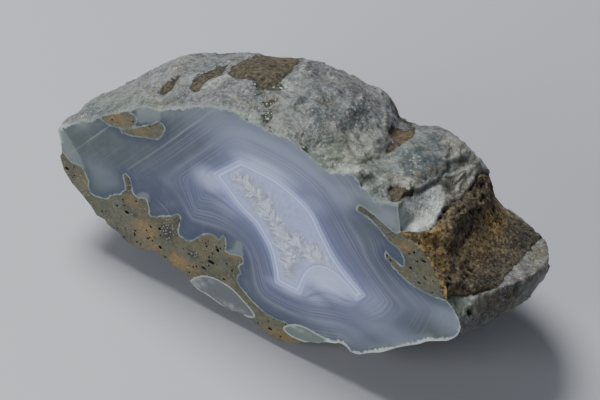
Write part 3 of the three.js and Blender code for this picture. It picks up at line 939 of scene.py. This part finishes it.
    # Pale translucent bits, the basalt with its pale edge and opened bubbles, and the two lenses
    ear = step(plus(read("ear_in"), g.wobble(1.6, 2, 3)), -0.5, 0.5)
    shade.coat(times(ear, 0.5), 142, 153, 150)
    basalt = Coats(g, g.mix(step(g.noise(7, 3, 0.6), 0.4, 0.6), (84, 86, 70), (106, 101, 76)))
    basalt.coat(step(g.noise(9), 0.5, 0.62, 0.6), 94, 98, 86)
    grain = g.noise(1, 4, 0.75)
    basalt.coat(step(grain, 0.52, 0.6, 0.3), 134, 129, 100)
    basalt.coat(step(grain, 0.47, 0.39, 0.4), 48, 46, 34)
    basalt.coat(times(read("rust"), plus(0.4, step(grain, 0.4, 0.6, 0.3))), 160, 126, 68)
    basalt.coat(times(read("soot"), 0.88), 42, 43, 43)
    specks = times(step(g.cells(0.9), 0.2, 0.1), step(g.noise(4, 1), 0.45, 0.55))
    basalt.coat(times(specks, 0.7), 178, 176, 160)
    speck_soot = times(read("soot"), step(g.cells(0.8), 0.3, 0.2))
    basalt.coat(times(speck_soot, 0.85), 178, 178, 170)
    # Opened gas bubbles, large and tiny, painted near-black: painted shade in their holes
    tiny = times(step(g.cells(1.6), 0.2, 0.15), step(g.noise(5, 1), 0.44, 0.5))
    holes = g.larger(step(read("bubble"), 0.42, 0.5), tiny)
    strip = step(plus(read("strip_in"), g.wobble(1.6, 1.4, 3)), -0.15, 0.15)
    golden = Coats(g, g.mix(step(g.noise(1.6, 5, 0.7), 0.44, 0.58), (72, 60, 36), (164, 136, 84)))
    # Painted shade: the pits of the broken strip painted near-black
    golden.coat(step(g.cells(1.5), 0.3, 0.2, 0.9), 16, 12, 7)
    basalt.coat(strip, golden.top)
    holes = times(holes, less(1, strip))
    basalt.coat(holes, 14, 11, 8)
    shade.coat(step(ragged, -0.08, 0.08), basalt.top)
    edge = g.line(plus(ragged, 0.14), 0.3, 0.08)
    shade.coat(times(edge, plus(0.35, step(g.noise(3), 0.4, 0.6, 0.5))), 152, 168, 154)
    for name, body, tint, line_colour in (
        ("clear_in", (104, 109, 111), (146, 152, 153), (184, 192, 186)),
        ("green_in", (112, 124, 120), (164, 174, 168), (186, 196, 188)),
    ):
        inside = plus(read(name), g.wobble(0.5, 0.8, 3, 0.6))
        light = plus(0.4, step(g.noise(1.5, 3), 0.4, 0.6))
        lens = g.mix(times(read("clear_light"), light), body, tint)
        shade.coat(step(inside, -0.1, 0.1), lens)
        line = g.line(inside, 0.32, 0.12)
        shade.coat(times(line, 0.75), line_colour)

    in_basalt = step(ragged, -0.1, 0.2)
    gloss = plus(0.16, times(times(in_basalt, g.noise(1, 3)), 0.5))
    gloss = plus(gloss, times(times(strip, in_basalt), 0.35))
    gloss = plus(gloss, times(times(holes, in_basalt), 0.6))
    height = times(grain, in_basalt)
    g.put(g.surface.inputs["Base Color"], shade.top)
    g.put(g.surface.inputs["Roughness"], gloss)
    g.put(g.surface.inputs["Normal"], g.bump(height, 0.00015, 0.8))
    return g.material


def rough_skin():
    g = Graph("rind_and_basalt")
    read, step, times, plus, less = g.read, g.step, g.times, g.plus, g.less
    lift = read("lift")
    grain = g.noise(1.5, 3, 0.75)
    fine = g.noise(0.7, 2, 0.7)
    clots = g.noise(4, 4, 0.65)

    def patches(name, spread=0.2):
        """Crisp patches that lie closer together the higher the named weight is."""
        rarity = times(less(1, read(name)), spread)
        return step(less(g.noise(2.4, 5, 0.75, distortion=0.8), rarity), 0.46, 0.5)

    # The rind: sugary, in greys and greens, with darker crackled patches and a few painted glints
    rind = Coats(g, g.mix(step(g.noise(8, 4, 0.6), 0.42, 0.58), (75, 80, 80), (105, 110, 108)))
    rind.coat(step(g.noise(15), 0.48, 0.6, 0.45), 106, 98, 104)
    rind.coat(times(read("greenish"), 0.85), 125, 132, 116)
    rind.coat(times(read("glassy"), 0.92), 66, 78, 78)
    rind.coat(times(read("warm"), 0.9), 104, 94, 70)
    ochre = step(g.noise(6, 4, 0.7), 0.53, 0.6, 0.35)
    rind.coat(g.larger(times(patches("stained", 0.12), 0.75), ochre), 118, 104, 70)
    rind.coat(step(clots, 0.5, 0.57, 0.38), 132, 138, 136)
    rind.coat(step(clots, 0.46, 0.4, 0.3), 70, 74, 73)
    rind.coat(times(patches("mottled"), 0.66), 72, 64, 69)
    rind.coat(times(patches("whitish"), 0.6), 190, 190, 184)
    calm = less(1, times(g.larger(read("glassy"), read("greenish")), 0.5))
    rind.coat(times(step(grain, 0.51, 0.57, 0.26), calm), 138, 144, 143)
    rind.coat(times(step(grain, 0.48, 0.42, 0.28), calm), 58, 60, 60)
    rind.coat(step(fine, 0.54, 0.62, 0.24), 162, 168, 169)
    rind.coat(step(fine, 0.46, 0.38, 0.22), 52, 55, 54)
    chip = g.mix(step(clots, 0.42, 0.58), (194, 200, 198), (222, 226, 223))
    rind.coat(times(read("chip"), 0.85), chip)
    # The facets' own brown-grey, with painted light on their raised parts and painted shade on their sunk
    # parts
    broken = g.mix(step(lift, -0.3, 0.3), (120, 114, 98), (176, 171, 156))
    rind.coat(times(read("faceted"), 0.65), broken)
    # Painted shade: darker where the rind is sunk
    rind.coat(step(lift, -0.2, -0.8, 0.25), 56, 58, 54)
    line = g.line(less(g.noise(4, 4, 0.65, distortion=0.6), 0.5), 0.02, 0.008)
    rind.coat(times(line, step(g.noise(7, 1), 0.44, 0.54, 0.6)), 44, 42, 42)
    # Painted highlight along the raised edges
    rind.coat(times(read("ridge"), plus(0.1, step(grain, 0.42, 0.54, 0.5))), 172, 178, 168)
    # Painted shade in the creases
    rind.coat(times(read("crease"), plus(0.15, step(grain, 0.42, 0.54, 0.35))), 48, 46, 38)
    glass = g.mix(step(clots, 0.44, 0.56), (128, 140, 132), (150, 156, 160))
    rind.coat(times(read("pale_glass"), 0.8), glass)
    # Painted glints: small white specks for light off the rind's crystals
    painted_glint = times(step(g.cells(1), 0.17, 0.09), step(g.noise(3), 0.48, 0.58))
    rind.coat(times(painted_glint, 0.85), 228, 234, 234)
    edge = plus(read("from_rim"), g.wobble(4, 1.6, 3, 0.7))
    rind.coat(step(edge, 1.8, 0.4, 0.32), 132, 148, 134)
    # Crystals of the druse, with painted shade between them
    crystals = g.mix(step(g.cells(1), 0.36, 0.24), (26, 32, 16), (170, 182, 160))
    druse = step(plus(read("drusy"), times(g.noise(1.4, 3, 0.7), 1.8)), 1.28, 1.36)
    rind.coat(times(druse, 0.9), crystals)
    # Painted shade: the hole in the ledge painted dark
    rind.coat(read("ledge_hole"), 46, 36, 34)

    # The basalt: granular, golden in places, with gas bubbles, and with painted shade on its end that
    # faces away from the light, in its hollows, pits and bubbles
    stone = Coats(g, g.mix(step(g.noise(6, 4, 0.6), 0.42, 0.58), (74, 64, 47), (102, 91, 67)))
    golden = times(read("golden"), plus(0.5, step(clots, 0.42, 0.56, 0.4)))
    stone.coat(golden, 190, 154, 84)
    # Painted shade: darker on the basalt end that faces away from the light, with its grain showing less
    # there and on the windows; on the unseen sides, darker patches of basalt
    plain = less(1, times(g.larger(read("painted_shade_and_dark_patches"), read("window")), 0.7))
    stone.coat(times(read("painted_shade_and_dark_patches"), 0.95), 37, 37, 32)
    stone.coat(times(read("window"), 0.8), 58, 54, 41)
    stone.coat(times(step(grain, 0.51, 0.56, 0.5), plain), 134, 120, 88)
    stone.coat(times(step(grain, 0.48, 0.42, 0.65), plain), 34, 28, 20)
    stone.coat(times(step(fine, 0.55, 0.62), plus(0.1, times(plain, 0.3))), 156, 146, 118)
    stone.coat(step(fine, 0.46, 0.39, 0.4), 26, 22, 16)
    # Painted shade: darker where the basalt is sunk
    stone.coat(step(lift, -0.5, -1.2, 0.4), 28, 23, 16)
    # Pits and gas bubbles painted near-black: painted shade in their holes
    bubbles = times(step(g.cells(1.7), 0.22, 0.15), step(g.noise(5, 1), 0.44, 0.5))
    bubbles = g.larger(bubbles, times(golden, step(g.cells(1.4), 0.3, 0.22)))
    stone.coat(times(g.larger(read("pit"), bubbles), 0.85), 14, 11, 8)
    inside = plus(read("basalt_in"), g.wobble(1.6, 1.2, 4, 0.7))
    shade = Coats(g, g.mix(step(inside, -0.12, 0.12), rind.top, stone.top))
    crack = g.line(inside, 0.3, 0.1)
    shade.coat(times(crack, 0.7), 24, 20, 14)

    rocky = step(inside, -0.2, 0.2)
    gloss = plus(less(0.5, step(grain, 0.45, 0.6, 0.15)), times(rocky, 0.38))
    gloss = less(gloss, times(g.larger(read("chip"), read("pale_glass")), 0.18))
    height = plus(g.noise(1.4, 4, 0.75), times(g.cells(1.1), 0.4))
    smooth = times(less(1, times(read("pale_glass"), 0.8)), plus(times(rocky, 0.4), calm))
    height = times(height, smooth)
    height = less(height, times(times(bubbles, rocky), 0.8))
    g.put(g.surface.inputs["Base Color"], shade.top)
    g.put(g.surface.inputs["Roughness"], gloss)
    g.put(g.surface.inputs["Normal"], g.bump(height, 0.0006, 0.9))
    return g.material


mesh.materials.append(rough_skin())
mesh.materials.append(polished_face())
stone = add_object("agate_stone", mesh)
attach(stone, "root")
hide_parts("agate")

# A plain pale floor, a plain background and soft light
floor_mesh = bpy.data.meshes.new("floor")
square = [(-1, -1), (1, -1), (1, 1), (-1, 1)]
floor_mesh.from_pydata([(FLOOR_REACH * x, FLOOR_REACH * y, 0) for x, y in square], [], [(0, 1, 2, 3)])
floor = add_object("floor", floor_mesh)
floor_paint = Graph("floor")
floor_paint.surface.inputs["Base Color"].default_value = colour(168, 170, 176)
floor_paint.surface.inputs["Roughness"].default_value = 0.5
floor_mesh.materials.append(floor_paint.material)

world = bpy.data.worlds.new("studio")
world.use_nodes = True
background = world.node_tree.nodes["Background"]
background.inputs["Color"].default_value = colour(150, 155, 165)
background.inputs["Strength"].default_value = 0.42
bpy.context.scene.world = world


def soft_light(name, place, size, power):
    data = bpy.data.lights.new(name, "AREA")
    data.shape = "DISK"
    data.size = size
    data.energy = power
    lamp = add_object(name, data)
    lamp.location = place
    lamp.rotation_euler = (Vector(LIGHT_AIM) - Vector(place)).to_track_quat("-Z", "Y").to_euler()


soft_light("key", (-0.36, 0.16, 0.76), 0.4, 9)
soft_light("fill", (-0.25, -0.85, 0.48), 0.6, 5)

camera_data = bpy.data.cameras.new("camera")
camera_data.sensor_width = SENSOR_WIDTH
camera_data.lens = CAMERA_FOCUS / PHOTO_WIDTH * SENSOR_WIDTH
camera = add_object("camera", camera_data)
place = face_origin + towards_camera * CAMERA_DISTANCE - camera_right * aim_right - camera_up * aim_up
turn = Matrix(np.stack([camera_right, camera_up, towards_camera], 1).tolist()).to_4x4()
camera.matrix_world = Matrix.Translation(Vector(place * MM)) @ turn
bpy.context.scene.camera = camera
